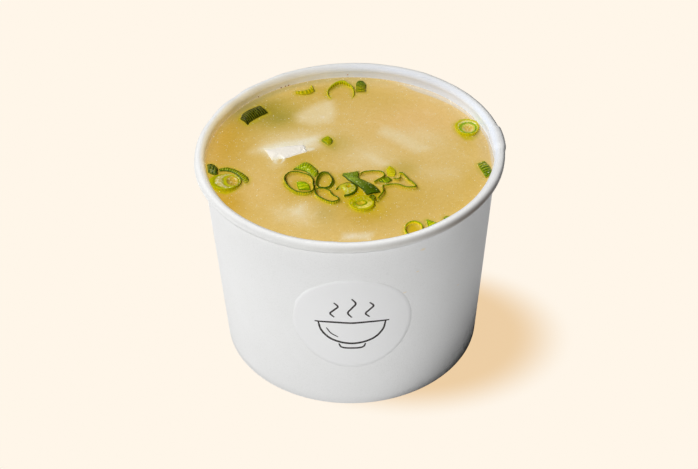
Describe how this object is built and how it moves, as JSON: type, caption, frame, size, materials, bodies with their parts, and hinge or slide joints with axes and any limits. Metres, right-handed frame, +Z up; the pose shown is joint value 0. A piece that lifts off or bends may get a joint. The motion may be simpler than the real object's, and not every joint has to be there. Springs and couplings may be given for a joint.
{
  "type": "miso soup in a paper cup",
  "caption": "Miso soup with a floating piece of tofu and sliced scallion, in a white round paper soup cup with a rolled rim and no lid.",
  "frame": {"origin": "centre of the cup's foot, on the surface it stands on", "axes": "+Z up along the cup's axis, -Y towards the side with the label, +X to the right of that side"},
  "size_m": [0.0982, 0.098, 0.0726],
  "materials": {
    "paper": "satin white paper board",
    "sticker": "thin clear satin sticker",
    "broth": "wet, cloudy golden liquid",
    "tofu": "soft, wet and off-white",
    "leaf_green": "wet leaf green",
    "leaf_dark": "wet dark green",
    "leaf_pale": "wet pale yellow-green"
  },
  "bodies": {
    "root": {"cup_wall": "paper", "cup_bottom": "paper", "label": "sticker", "soup": "broth", "tofu": "tofu", "scallion_ring_oval": "leaf_green", "scallion_ring_tube": "leaf_green", "scallion_ring_bean": "leaf_green", "scallion_ring_back": "leaf_green", "scallion_ring_front": "leaf_green", "scallion_loop": "leaf_green", "scallion_arc": "leaf_green", "scallion_strand": "leaf_green", "scallion_curl": "leaf_green", "scallion_half_moon": "leaf_green", "scallion_bulb_middle": "leaf_pale", "scallion_bulb_left": "leaf_pale", "scallion_bulb_right": "leaf_pale", "scallion_chip_ring": "leaf_pale", "scallion_chip_pale": "leaf_pale", "scallion_crescent_back": "leaf_pale", "scallion_crescent": "leaf_green", "scallion_chip_middle": "leaf_green", "scallion_chip_back": "leaf_green", "scallion_chip_centre": "leaf_green", "scallion_chip_front": "leaf_green", "scallion_chip_rim": "leaf_green", "scallion_strip_left": "leaf_green", "scallion_strip_right": "leaf_green", "scallion_ribbon": "leaf_dark", "scallion_ribbon_fold": "leaf_dark", "scallion_barrel": "leaf_dark", "scallion_leaf_dark": "leaf_dark"}
  },
  "joints": []
}
